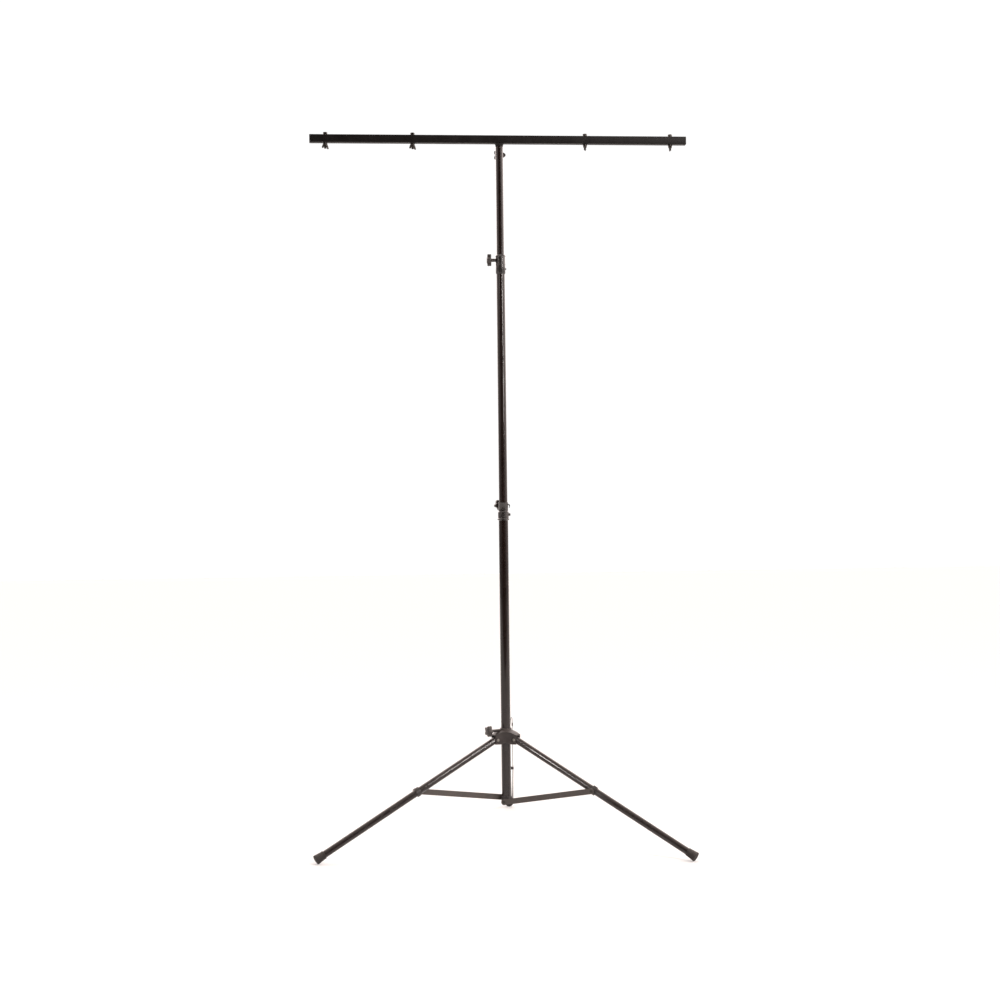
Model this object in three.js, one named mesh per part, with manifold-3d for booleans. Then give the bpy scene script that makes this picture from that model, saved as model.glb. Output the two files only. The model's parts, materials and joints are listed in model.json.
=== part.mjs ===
// Folding stage lighting stand: a tripod with sliding hub, a mast of three telescoping tubes
// and a square T-bar with four bolts and wing nuts. Millimetres, +Z up, T-bar along X.
import * as THREE from 'three';
import { mergeVertices } from 'three/addons/utils/BufferGeometryUtils.js';
import Module from 'manifold-3d';

const wasm = await Module();
wasm.setup();

// Clearances
const seatGap = 0.3;
const overrun = 2;

// Facets round a full turn, and steps along curves
const tubeSteps = 20;
const legSteps = 18;
const collarSteps = 20;
const roofSteps = 36;
const screwSteps = 10;
const smallSteps = 10;
const filletSteps = 3;
const barCornerSteps = 2;

// Mast tubes
const lowerTubeRadius = 15;
const middleTubeRadius = 13.5;
const topTubeRadius = 12;
const tubeWall = 1.2;
const mastFoot = 125.5;
const lowerTubeLength = 922.5;
const middleTubeLength = 900;
const middleTubeInset = 113.5;
const topTubeLength = 880;
const topTubeInset = 506;
const plugFlange = 2;
const plugDepth = 16;
const plugWall = 2;

// T-bar
const barLength = 1200;
const barSide = 25;
const barWall = 1.5;
const barCorner = 2;
const capLip = 2;
const capDepth = 14;
const boltShares = [-11 / 24, -11 / 48, 11 / 48, 11 / 24];
const boltClear = 20;
const boltRadius = 4;
const boltHeadFlats = 12;
const boltHeadHeight = 5.2;
const boltHeadBevel = 1.2;
const boltBelowBar = 18.6;
const flatWasher = { radius: 7.2, thickness: 1.2 };
const springWasher = { radius: 6.2, thickness: 1.6 };

// Wing nuts, each left at its own angle
const nutAngles = [50, 48, 78, 84];
const nutBaseRadius = 7;
const nutBaseEdge = 2;
const nutNeckRadius = 5.5;
const nutHeight = 10;
const nutSpan = 30;
const wingHeight = 18.4;
const wingThickness = 3;
const wingTip = 4;

// Spigot of the T-bar
const spigotRadius = 10.4;
const spigotWall = 2;
const spigotLength = 84;
const spigotTaper = 2;
const weldRadius = 16.4;
const weldHeight = 9.2;

// Star knobs and their studs: the upper two clamps have the larger knob
const knobLobes = 5;
const knobPointsPerLobe = 5;
const largeKnob = {
  radius: 20, dip: 5.6, head: 12.8, round: 2.4, neckRadius: 5.4, neck: 9.2, dome: 2.4, domeRadius: 12,
};
const smallKnob = {
  radius: 17.6, dip: 4.8, head: 13.4, round: 2.2, neckRadius: 4.6, neck: 6.4, dome: 1.6, domeRadius: 10,
};
const knobTurns = { hub: 0, mid: -12, top: 0, bar: 36 };
const studRadius = 3;
const studInKnob = 18;
const bossRadius = 5.8;
const bossReach = 19.5;

// Collar at the top of the lower tube, measured from that tube's end
const midCollar = {
  below: 26.5, above: 30.5, upperRadius: 15.4, lowerRadius: 17.25, flangeRadius: 19,
  flangeHeight: 3, flangeSlope: 2.6, shoulder: 2.5, rimRadius: 16, rimHeight: 1.6,
  knobHeight: 23, knobTurn: 106.8, boltDrop: 8,
};
const collarBolt = {
  turn: -5.2, shankRadius: 2.5, headRadius: 4.6, headHeight: 3.6, washerRadius: 5.4, washer: 1.4,
};
const collarHook = { turn: -5.2, width: 8, reach: 21.6, thickness: 2.4, lower: 2.7, drop: 12.5, arm: 3.2 };

// Collar at the top of the middle tube, measured from that tube's end
const topCollar = {
  below: 30, above: 31.5, radius: 15.5, rimRadius: 17, rimHeight: 2, mouthRadius: 13.5, mouthHeight: 4.5,
  footRadius: 14.4, footHeight: 2.5, beadRadius: 16, beadHeight: 1.2, knobHeight: 14, knobTurn: 174.8,
  screwDrop: 14.5,
};
const collarScrew = { turn: -5.2, shankRadius: 1.6, headRadius: 3, headHeight: 2.6 };

// Clamp of the T-bar, behind the top tube
const barKnobTurn = 83.8;
const barKnobDrop = 19.4;
const weldedNutRadius = 8;

// Tripod
const tripodTurn = -6;
const legTurns = { front_left: 210, front_right: 330, back: 90 };
const legPitch = 26.9;
const legLength = 695.3;
const legRadius = 11;
const legWall = 1.2;
const legBack = 5;
const hubPivotRadius = 37;
const pivotRadius = 3.5;
const pivotHeadRadius = 4.8;
const pivotHeadHeight = 3;

// Rubber feet
const foot = {
  endRadius: 15, startRadius: 12.5, lipRadius: 13, lip: 2.5, length: 30, endWall: 4, floorCut: 0.6,
};

// Braces, flat strips beside their legs on the clockwise side
const braceJoint = 311;
const braceHalfWidth = 9;
const braceThickness = 2;
const bracePlane = 17.25;
const bracketPivotHeights = { front_left: 139.5, front_right: 128.4, back: 135.5 };
const rivetRadius = 3;
const rivetHeadRadius = 4.8;
const rivetHeadHeight = 1.6;

// Clips on the legs
const clip = {
  length: 15, wall: 1.6, bossRadius: 5, seamRadius: 2, seamRise: 1.4, lowerSeamRadius: 2.6, seamInset: 1,
};

// Bracket at the foot of the mast
const bracket = { floor: 2.2, height: 23, radius: 16.8, lipRadius: 16.2, lipSlope: 1.2, padRadius: 5.3 };

// Hub
const hub = {
  bottomDrop: 14, archRise: 6, archInner: 24, archOuter: 33, apexRise: 29.5, apexRadius: 19,
  eaveRadius: 45.5, roofFallShare: 0.5, roofWall: 4, earHalfWidth: 15, earCorner: 4, waistShare: 0.44,
  slotInner: 23.6, sleeveRadius: 20.6, wall: 3, pocketTop: 13.5, recessDrop: 8, counterboreRadius: 6,
  counterboreDepth: 1.2,
};
const hubCurveSteps = 4;
const hubRing = { radius: 18.2, height: 13, studRise: 6.6, slot: 2.4 };
const hubKnob = { turn: 206, bossReach: 49, bossRadius: 4.7 };

// Wire lanyard
const wireRadius = 0.8;
const wireSides = 6;
const wireSteps = 44;
const anchor = { turn: 56.8, rise: 10.15, shankRadius: 1.5, headRadius: 3, headHeight: 2.2, shankOut: 2 };
const ferrule = { radius: 2, boreRadius: 1.15, length: 10, top: 375 };
const keyRing = { radius: 6, wireRadius: 0.8 };
const keyRingSteps = 16;
const keyRingSides = 6;
const wireRoute = [
  [12.44, 19.01, 359.3], [13.36, 20.42, 359.6], [14.6, 22.4, 361.2], [16.2, 25.0, 366], [17.3, 26.9, 373],
  [17.7, 27.3, 380.5],
  [18.6, 26.9, 387.6], [20.3, 26.3, 391.6], [22.2, 25.6, 388.5], [23.1, 25.1, 381.5], [23.24, 24.98, 372],
  [23.24, 24.98, 350], [23.24, 24.98, 320], [23.24, 24.98, 290], [23.24, 24.98, 260], [23.24, 24.98, 230],
  [23.24, 24.98, 200], [23.24, 24.98, 170], [23.24, 24.98, 136.2],
];

// Values worked out from the sizes above
const pitch = THREE.MathUtils.degToRad(legPitch);
const lowerTubeTop = mastFoot + lowerTubeLength;
const middleTubeTop = lowerTubeTop + middleTubeLength - middleTubeInset;
const topTubeTop = middleTubeTop + topTubeLength - topTubeInset;
const barBottom = topTubeTop + seatGap + weldHeight + seatGap;
const hubPivotHeight = legLength * Math.sin(pitch) + foot.endRadius * Math.cos(pitch) - foot.floorCut;
const jointRadius = hubPivotRadius + braceJoint * Math.cos(pitch);
const jointHeight = hubPivotHeight - braceJoint * Math.sin(pitch);
const hubBottom = hubPivotHeight - hub.bottomDrop;
const hubApex = hubPivotHeight + hub.apexRise;
const hubRecess = hubApex - hub.recessDrop;
const hubStudHeight = hubRecess + seatGap + hubRing.studRise;
const anchorHeight = hubRecess + seatGap + anchor.rise;
const boltPlaces = boltShares.map((share) => share * barLength);

// Finishes
const finishes = {
  paintedTube: { color: 0x1d1a18, roughness: 0.32, metalness: 0.4 },
  paintedSteel: { color: 0x24201e, roughness: 0.5, metalness: 0.4 },
  barPaint: { color: 0x16120f, roughness: 0.6, metalness: 0.3 },
  mouldedPlastic: { color: 0x33302e, roughness: 0.6, metalness: 0 },
  knobPlastic: { color: 0x1a1817, roughness: 0.5, metalness: 0 },
  rubber: { color: 0x1c1a18, roughness: 0.85, metalness: 0 },
  blackScrew: { color: 0x2a2826, roughness: 0.4, metalness: 0.8 },
  steel: { color: 0x8c8a86, roughness: 0.35, metalness: 1 },
};

// A closed solid for joining and cutting, from any closed geometry, placed by a frame if one is given
function solid(geometry, frame = new THREE.Matrix4()) {
  const bare = geometry.index ? geometry.toNonIndexed() : geometry.clone();
  bare.deleteAttribute('normal');
  bare.deleteAttribute('uv');
  const welded = mergeVertices(bare).applyMatrix4(frame);
  const source = welded.index.array;
  const place = welded.attributes.position;
  const a = new THREE.Vector3();
  const b = new THREE.Vector3();
  const c = new THREE.Vector3();
  const faces = [];
  let volume = 0;
  for (let i = 0; i < source.length; i += 3) {
    const [p, q, r] = [source[i], source[i + 1], source[i + 2]];
    if (p === q || q === r || r === p) {
      continue;
    }
    faces.push(p, q, r);
    a.fromBufferAttribute(place, p);
    b.fromBufferAttribute(place, q);
    c.fromBufferAttribute(place, r);
    volume += a.dot(b.cross(c));
  }
  if (volume < 0) {
    faces.reverse();
  }
  const mesh = new wasm.Mesh({
    numProp: 3,
    vertProperties: Float32Array.from(place.array),
    triVerts: Uint32Array.from(faces),
  });
  return new wasm.Manifold(mesh);
}

// Back from a solid to a geometry with flat facets
function geometryOf(body) {
  const mesh = body.getMesh();
  const geometry = new THREE.BufferGeometry();
  geometry.setAttribute('position', new THREE.BufferAttribute(mesh.vertProperties.slice(), 3));
  geometry.setIndex(new THREE.BufferAttribute(mesh.triVerts.slice(), 1));
  const flat = geometry.toNonIndexed();
  flat.computeVertexNormals();
  return flat;
}

function joined(bodies) {
  return bodies.slice(1).reduce((whole, body) => whole.add(body), bodies[0]);
}

function cut(body, tools) {
  return tools.reduce((rest, tool) => rest.subtract(tool), body);
}

// A profile of [radius, height] points turned round the Z axis
function revolve(points, steps = collarSteps) {
  const profile = points.map(([r, z]) => new THREE.Vector2(r, z));
  const geometry = new THREE.LatheGeometry(profile, steps);
  geometry.rotateX(Math.PI / 2);
  return geometry;
}

function rod(radius, low, high, steps = screwSteps) {
  return revolve([[0, low], [radius, low], [radius, high], [0, high]], steps);
}

function pipe(outer, inner, low, high, steps = tubeSteps) {
  return revolve([[inner, low], [outer, low], [outer, high], [inner, high], [inner, low]], steps);
}

// A flat outline given thickness along Z
function plate(shape, low, high, curveSteps = filletSteps) {
  const geometry = new THREE.ExtrudeGeometry(shape, {
    depth: high - low, bevelEnabled: false, curveSegments: curveSteps,
  });
  geometry.translate(0, 0, low);
  return geometry;
}

function roundedRect(halfX, halfY, corner) {
  const shape = new THREE.Shape();
  shape.absarc(halfX - corner, halfY - corner, corner, 0, Math.PI / 2);
  shape.absarc(-halfX + corner, halfY - corner, corner, Math.PI / 2, Math.PI);
  shape.absarc(-halfX + corner, -halfY + corner, corner, Math.PI, 1.5 * Math.PI);
  shape.absarc(halfX - corner, -halfY + corner, corner, 1.5 * Math.PI, 2 * Math.PI);
  shape.closePath();
  return shape;
}

function polygon(points) {
  return new THREE.Shape(points.map(([x, y]) => new THREE.Vector2(x, y)));
}

const up = new THREE.Vector3(0, 0, 1);

function outwardAt(degrees) {
  const angle = THREE.MathUtils.degToRad(degrees);
  return new THREE.Vector3(Math.cos(angle), Math.sin(angle), 0);
}

function tangentAt(degrees) {
  return outwardAt(degrees + 90);
}

// A frame whose Z runs straight out from the mast and whose Y runs up
function radialFrame(degrees, height) {
  const frame = new THREE.Matrix4().makeBasis(tangentAt(degrees), up, outwardAt(degrees));
  return frame.setPosition(0, 0, height);
}

// A frame whose Z runs along the tangent and whose X runs straight out from the mast
function tangentFrame(degrees, radius, height) {
  const outward = outwardAt(degrees);
  const frame = new THREE.Matrix4().makeBasis(up, outward, tangentAt(degrees).negate());
  return frame.setPosition(outward.x * radius, outward.y * radius, height);
}

// A frame at a leg's pivot: Z down the leg, X along the pivot, Y out of the leg's upper side
function legFrame(degrees) {
  const outward = outwardAt(degrees);
  const along = outward.clone().multiplyScalar(Math.cos(pitch)).addScaledVector(up, -Math.sin(pitch));
  const normal = outward.clone().multiplyScalar(Math.sin(pitch)).addScaledVector(up, Math.cos(pitch));
  const frame = new THREE.Matrix4().makeBasis(tangentAt(degrees), normal, along);
  return frame.setPosition(outward.x * hubPivotRadius, outward.y * hubPivotRadius, hubPivotHeight);
}

// A frame at a brace's lower pivot: X along the brace, Z out of its outer side
function braceFrame(degrees, pivotHeight) {
  const bracePitch = Math.atan2(jointHeight - pivotHeight, jointRadius);
  const outward = outwardAt(degrees);
  const along = outward.clone().multiplyScalar(Math.cos(bracePitch)).addScaledVector(up, Math.sin(bracePitch));
  const normal = outward.clone().multiplyScalar(-Math.sin(bracePitch)).addScaledVector(up, Math.cos(bracePitch));
  const frame = new THREE.Matrix4().makeBasis(along, normal, tangentAt(degrees).negate());
  return frame.setPosition(0, 0, pivotHeight);
}

const stand = new THREE.Group();

function addPiece(parent, name, geometry, finish) {
  const mesh = new THREE.Mesh(geometry, new THREE.MeshStandardMaterial(finishes[finish]));
  mesh.name = name;
  parent.add(mesh);
  return mesh;
}

function addGroup(parent, frame) {
  const group = new THREE.Group();
  frame.decompose(group.position, group.quaternion, group.scale);
  parent.add(group);
  return group;
}

// Star knob: lobed head with rounded rims and a domed face on a short neck, bored for its stud
function knobGeometry({ radius, dip, head, round, neckRadius, neck, dome, domeRadius }) {
  const outline = [];
  const count = knobLobes * knobPointsPerLobe;
  for (let i = 0; i < count; i += 1) {
    const angle = (2 * Math.PI * i) / count;
    const reach = radius - dip * (1 - Math.cos(knobLobes * angle)) / 2;
    outline.push([reach * Math.cos(angle), reach * Math.sin(angle)]);
  }
  const star = new THREE.ExtrudeGeometry(polygon(outline), {
    depth: head - 2 * round, bevelThickness: round, bevelSize: round, bevelOffset: -round, bevelSegments: 2,
  });
  star.translate(0, 0, neck + round);
  const face = neck + head;
  const cap = revolve([
    [0, face - round],
    [domeRadius, face - round],
    [domeRadius, face],
    [domeRadius * Math.cos(Math.PI / 6), face + dome / 2],
    [domeRadius / 2, face + dome],
    [0, face + dome],
  ], screwSteps);
  const stem = rod(neckRadius, 0, neck + round);
  const bore = rod(studRadius + seatGap, -overrun, studInKnob + seatGap);
  return geometryOf(cut(joined([solid(star), solid(stem), solid(cap)]), [solid(bore)]));
}

const sharedLargeKnob = knobGeometry(largeKnob);
const sharedSmallKnob = knobGeometry(smallKnob);

// One clamp: knob and stud on a line straight out from the mast, the knob left at its own turn
function addClamp(parent, name, [degrees, height], [innerRadius, seatRadius], knobShape) {
  const group = addGroup(parent, radialFrame(degrees, height));
  const knob = addPiece(group, `${name}_knob`, knobShape, 'knobPlastic');
  knob.position.z = seatRadius + seatGap;
  knob.rotation.z = THREE.MathUtils.degToRad(knobTurns[name]);
  const studEnd = seatRadius + seatGap + studInKnob;
  addPiece(group, `${name}_knob_stud`, rod(studRadius, innerRadius + seatGap, studEnd), 'steel');
}

// A hole drilled straight out from the mast
function radialBore(radius, degrees, height, low, high) {
  return solid(rod(radius, low, high), radialFrame(degrees, height));
}

function studBore(degrees, height, low, high) {
  return radialBore(studRadius + seatGap, degrees, height, low, high);
}

// Lower tube, with the hole for the collar's bolt
const boltHeight = lowerTubeTop - midCollar.boltDrop;
const lowerPipe = pipe(lowerTubeRadius, lowerTubeRadius - tubeWall, mastFoot, lowerTubeTop);
const lowerBore = radialBore(
  collarBolt.shankRadius + seatGap, collarBolt.turn, boltHeight, 0, 2 * lowerTubeRadius,
);
addPiece(stand, 'lower_tube', geometryOf(cut(solid(lowerPipe), [lowerBore])), 'paintedTube');

// Middle tube, with the hole for the upper collar's screw
const screwHeight = middleTubeTop - topCollar.screwDrop;
const middleFoot = middleTubeTop - middleTubeLength;
const middlePipe = pipe(middleTubeRadius, middleTubeRadius - tubeWall, middleFoot, middleTubeTop);
const middleBore = radialBore(
  collarScrew.shankRadius + seatGap, collarScrew.turn, screwHeight, 0, 2 * middleTubeRadius,
);
addPiece(stand, 'middle_tube', geometryOf(cut(solid(middlePipe), [middleBore])), 'paintedTube');

// Top tube, with the hole for the T-bar's clamp screw
const barKnobHeight = topTubeTop - barKnobDrop;
const topFoot = topTubeTop - topTubeLength;
const topPipe = pipe(topTubeRadius, topTubeRadius - tubeWall, topFoot, topTubeTop);
const topBore = studBore(barKnobTurn, barKnobHeight, 0, 2 * topTubeRadius);
addPiece(stand, 'top_tube', geometryOf(cut(solid(topPipe), [topBore])), 'paintedTube');

// Hollow plug pushed into the lower end of a tube, its flange as wide as the tube
function plugGeometry(radius, low) {
  const inside = radius - tubeWall - seatGap;
  return revolve([
    [inside - plugWall, low - plugFlange - seatGap],
    [radius, low - plugFlange - seatGap],
    [radius, low - seatGap],
    [inside, low - seatGap],
    [inside, low + plugDepth],
    [inside - plugWall, low + plugDepth],
    [inside - plugWall, low - plugFlange - seatGap],
  ], tubeSteps);
}
addPiece(stand, 'middle_tube_plug', plugGeometry(middleTubeRadius, middleFoot), 'mouldedPlastic');
addPiece(stand, 'top_tube_plug', plugGeometry(topTubeRadius, topFoot), 'mouldedPlastic');

// Collar on the lower tube: a stepped sleeve with foot flange, top rim, knob boss and hook
function midCollarGeometry() {
  const top = lowerTubeTop + midCollar.above;
  const foot = lowerTubeTop - midCollar.below;
  const flange = foot + midCollar.flangeSlope;
  const outside = revolve([
    [0, foot],
    [lowerTubeRadius + 2 * seatGap, foot],
    [midCollar.flangeRadius, flange],
    [midCollar.flangeRadius, flange + midCollar.flangeHeight],
    [midCollar.lowerRadius, flange + midCollar.flangeHeight + midCollar.rimHeight],
    [midCollar.lowerRadius, lowerTubeTop],
    [midCollar.upperRadius, lowerTubeTop + midCollar.shoulder],
    [midCollar.upperRadius, top - 2 * midCollar.rimHeight],
    [midCollar.rimRadius, top - midCollar.rimHeight],
    [midCollar.rimRadius, top],
    [0, top],
  ]);
  const bore = revolve([
    [0, foot - overrun],
    [lowerTubeRadius + seatGap, foot - overrun],
    [lowerTubeRadius + seatGap, lowerTubeTop + seatGap],
    [middleTubeRadius + seatGap, lowerTubeTop + seatGap],
    [middleTubeRadius + seatGap, top + overrun],
    [0, top + overrun],
  ]);
  const knobHeight = lowerTubeTop + midCollar.knobHeight;
  const boss = solid(
    rod(bossRadius, middleTubeRadius, bossReach), radialFrame(midCollar.knobTurn, knobHeight),
  );
  const boltBore = radialBore(
    collarBolt.shankRadius + seatGap, collarBolt.turn, boltHeight, lowerTubeRadius,
    midCollar.flangeRadius + overrun,
  );
  const seatBore = radialBore(
    collarBolt.washerRadius + seatGap, collarBolt.turn, boltHeight, midCollar.lowerRadius,
    2 * midCollar.lowerRadius,
  );
  const hookTop = midCollar.above - midCollar.rimHeight - collarHook.lower;
  const { reach, thickness, drop, arm, width } = collarHook;
  const hookOutline = polygon([
    [middleTubeRadius + seatGap, hookTop],
    [midCollar.upperRadius, hookTop],
    [reach, hookTop - arm],
    [reach, hookTop - arm - thickness],
    [reach - thickness / 2, hookTop - drop],
    [reach - 1.5 * thickness, hookTop - drop],
    [reach - thickness, hookTop - arm - 1.5 * thickness],
    [midCollar.upperRadius + seatGap, hookTop - arm],
    [middleTubeRadius + seatGap, hookTop - arm],
  ]);
  const hookFrame = new THREE.Matrix4().makeBasis(
    outwardAt(collarHook.turn), up, tangentAt(collarHook.turn).negate(),
  ).setPosition(0, 0, lowerTubeTop);
  const hook = solid(plate(hookOutline, -width / 2, width / 2), hookFrame);
  const body = joined([solid(outside), boss, hook]);
  const studWay = studBore(midCollar.knobTurn, knobHeight, 0, bossReach + overrun);
  return geometryOf(cut(body, [solid(bore), studWay, boltBore, seatBore]));
}
addPiece(stand, 'mid_collar', midCollarGeometry(), 'mouldedPlastic');

// Bolt and washer that hold the collar on the lower tube
const boltGroup = addGroup(stand, radialFrame(collarBolt.turn, boltHeight));
const boltSeat = midCollar.lowerRadius + seatGap;
const washerPipe = pipe(
  collarBolt.washerRadius, collarBolt.shankRadius + seatGap, boltSeat, boltSeat + collarBolt.washer, smallSteps,
);
addPiece(boltGroup, 'mid_collar_washer', washerPipe, 'steel');
const headSeat = boltSeat + collarBolt.washer + seatGap;
const headTop = headSeat + collarBolt.headHeight;
const domedBolt = revolve([
  [0, lowerTubeRadius - tubeWall + seatGap],
  [collarBolt.shankRadius, lowerTubeRadius - tubeWall + seatGap],
  [collarBolt.shankRadius, headSeat],
  [collarBolt.headRadius, headSeat],
  [collarBolt.headRadius, headSeat + collarBolt.headHeight / 2],
  [collarBolt.headRadius * Math.cos(Math.PI / 6), headTop - collarBolt.headHeight / 6],
  [collarBolt.headRadius / 2, headTop],
  [0, headTop],
], smallSteps);
addPiece(boltGroup, 'mid_collar_bolt', domedBolt, 'blackScrew');
addClamp(
  stand, 'mid', [midCollar.knobTurn, lowerTubeTop + midCollar.knobHeight], [middleTubeRadius, bossReach],
  sharedSmallKnob,
);

// Collar on the middle tube: two bands with rims and a bead between them
function topCollarGeometry() {
  const top = middleTubeTop + topCollar.above;
  const foot = middleTubeTop - topCollar.below;
  const rim = topCollar.rimHeight;
  const bead = topCollar.beadHeight;
  const outside = revolve([
    [0, foot],
    [topCollar.footRadius, foot],
    [topCollar.radius, foot + topCollar.footHeight],
    [topCollar.radius, middleTubeTop - bead],
    [topCollar.beadRadius, middleTubeTop - bead / 2],
    [topCollar.beadRadius, middleTubeTop + bead / 2],
    [topCollar.radius, middleTubeTop + bead],
    [topCollar.radius, top - topCollar.mouthHeight - rim],
    [topCollar.rimRadius, top - topCollar.mouthHeight],
    [topCollar.mouthRadius, top],
    [0, top],
  ]);
  const bore = revolve([
    [0, foot - overrun],
    [middleTubeRadius + seatGap, foot - overrun],
    [middleTubeRadius + seatGap, middleTubeTop + seatGap],
    [topTubeRadius + seatGap, middleTubeTop + seatGap],
    [topTubeRadius + seatGap, top + overrun],
    [0, top + overrun],
  ]);
  const knobHeight = middleTubeTop + topCollar.knobHeight;
  const boss = solid(
    rod(bossRadius, topTubeRadius, bossReach), radialFrame(topCollar.knobTurn, knobHeight),
  );
  const screwBore = radialBore(
    collarScrew.shankRadius + seatGap, collarScrew.turn, screwHeight, middleTubeRadius,
    topCollar.radius + overrun,
  );
  const studWay = studBore(topCollar.knobTurn, knobHeight, 0, bossReach + overrun);
  return geometryOf(cut(joined([solid(outside), boss]), [solid(bore), studWay, screwBore]));
}
addPiece(stand, 'top_collar', topCollarGeometry(), 'mouldedPlastic');

const screwGroup = addGroup(stand, radialFrame(collarScrew.turn, screwHeight));
const screwSeat = topCollar.radius + seatGap;
const panScrew = revolve([
  [0, middleTubeRadius - tubeWall + seatGap],
  [collarScrew.shankRadius, middleTubeRadius - tubeWall + seatGap],
  [collarScrew.shankRadius, screwSeat],
  [collarScrew.headRadius, screwSeat],
  [collarScrew.headRadius, screwSeat + collarScrew.headHeight / 2],
  [collarScrew.headRadius / 2, screwSeat + collarScrew.headHeight],
  [0, screwSeat + collarScrew.headHeight],
], smallSteps);
addPiece(screwGroup, 'top_collar_screw', panScrew, 'blackScrew');
addClamp(
  stand, 'top', [topCollar.knobTurn, middleTubeTop + topCollar.knobHeight], [topTubeRadius, bossReach],
  sharedLargeKnob,
);

// Nut welded behind the top tube, saddled to it, for the T-bar's clamp
function barBossGeometry() {
  const nut = solid(
    rod(weldedNutRadius, topTubeRadius / 2, bossReach, 6), radialFrame(barKnobTurn, barKnobHeight),
  );
  const saddle = rod(
    topTubeRadius + seatGap, barKnobHeight - 2 * weldedNutRadius, barKnobHeight + 2 * weldedNutRadius, tubeSteps,
  );
  const studWay = studBore(barKnobTurn, barKnobHeight, 0, bossReach + overrun);
  return geometryOf(cut(nut, [solid(saddle), studWay]));
}
addPiece(stand, 'bar_knob_boss', barBossGeometry(), 'paintedSteel');
addClamp(stand, 'bar', [barKnobTurn, barKnobHeight], [spigotRadius, bossReach], sharedLargeKnob);

// T-bar: square tube along X with four bolt holes, closed by two caps. It is made of lengths that meet
// on both sides of each bolt, so the seats for lamps and clamps between the bolts are faces of their own
const alongBar = new THREE.Matrix4().makeBasis(
  new THREE.Vector3(0, 1, 0), up, new THREE.Vector3(1, 0, 0),
);
const barHalf = barSide / 2;
const barInside = barHalf - barWall;
const barEnd = barLength / 2 - capLip - seatGap;
const barGroup = addGroup(stand, new THREE.Matrix4().setPosition(0, 0, barBottom + barHalf));
const barSection = roundedRect(barHalf, barHalf, barCorner);
const barHollow = roundedRect(barInside, barInside, barCorner / 2);
const barStations = [-barEnd, ...boltPlaces.flatMap((x) => [x - boltClear, x + boltClear]), barEnd];
const barLengths = barStations.slice(1).map((x, i) => (
  solid(plate(barSection, barStations[i], x, barCornerSteps), alongBar)
));
const barBore = solid(plate(barHollow, -barLength, barLength, 1), alongBar);
const boltBores = boltPlaces.map((x) => {
  const bore = rod(boltRadius + seatGap, -barHalf - overrun, barHalf + overrun);
  return solid(bore.translate(x, 0, 0));
});
addPiece(barGroup, 't_bar', geometryOf(cut(joined(barLengths), [barBore, ...boltBores])), 'barPaint');

function barCapGeometry() {
  const fit = barInside - seatGap;
  const inside = fit - plugWall;
  const lip = plate(barSection, -capLip, 0, barCornerSteps);
  const stub = plate(roundedRect(fit, fit, barCorner / 2), -capDepth, -capLip / 2, barCornerSteps);
  const hollow = plate(roundedRect(inside, inside, barCorner / 2), -2 * capDepth, -capLip, 1);
  const cap = geometryOf(cut(joined([solid(lip), solid(stub)]), [solid(hollow)]));
  return cap.translate(0, 0, barLength / 2).applyMatrix4(alongBar);
}
const barCap = barCapGeometry();
addPiece(barGroup, 'bar_cap_right', barCap, 'mouldedPlastic');
addPiece(barGroup, 'bar_cap_left', barCap, 'mouldedPlastic').rotation.z = Math.PI;

// Spigot: tube that drops into the top tube, with the weld flare under the bar
function spigotGeometry() {
  const profile = [[spigotRadius - spigotWall, 0]];
  for (let i = 0; i <= filletSteps; i += 1) {
    const angle = (Math.PI / 2) * (i / filletSteps);
    const radius = topTubeRadius + (weldRadius - topTubeRadius) * (1 - Math.sin(angle));
    profile.push([radius, -weldHeight * (1 - Math.cos(angle))]);
  }
  profile.push([spigotRadius, -weldHeight]);
  profile.push([spigotRadius, -weldHeight - spigotLength + spigotTaper]);
  profile.push([spigotRadius - spigotTaper / 2, -weldHeight - spigotLength]);
  profile.push([spigotRadius - spigotWall, -weldHeight - spigotLength]);
  profile.push([spigotRadius - spigotWall, 0]);
  return revolve(profile.reverse(), tubeSteps);
}
addPiece(stand, 'bar_spigot', spigotGeometry(), 'barPaint').position.z = barBottom - seatGap;

// Hex bolts through the bar, each with its flat washer and spring washer, and the wing nuts under it
function boltGeometry() {
  const cornerRadius = boltHeadFlats / 2 / Math.cos(Math.PI / 6);
  const seat = barHalf + seatGap;
  const ledge = seat + flatWasher.thickness;
  const headLow = ledge + springWasher.thickness;
  const headTop = headLow + boltHeadHeight;
  const head = rod(cornerRadius, headLow, headTop, 6);
  const chamfer = revolve([
    [0, 0],
    [cornerRadius + boltHeadBevel, 0],
    [cornerRadius + boltHeadBevel, headTop - boltHeadBevel],
    [boltHeadFlats / 2 - boltHeadBevel / 2, headTop],
    [0, headTop],
  ], screwSteps);
  const under = revolve([
    [0, -barHalf - boltBelowBar],
    [boltRadius, -barHalf - boltBelowBar],
    [boltRadius, seat],
    [flatWasher.radius, seat],
    [flatWasher.radius, ledge],
    [springWasher.radius, ledge],
    [springWasher.radius, headLow],
    [boltRadius, headLow + boltHeadHeight / 2],
    [0, headLow + boltHeadHeight / 2],
  ], screwSteps);
  return geometryOf(joined([solid(head).intersect(solid(chamfer)), solid(under)]));
}

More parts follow.
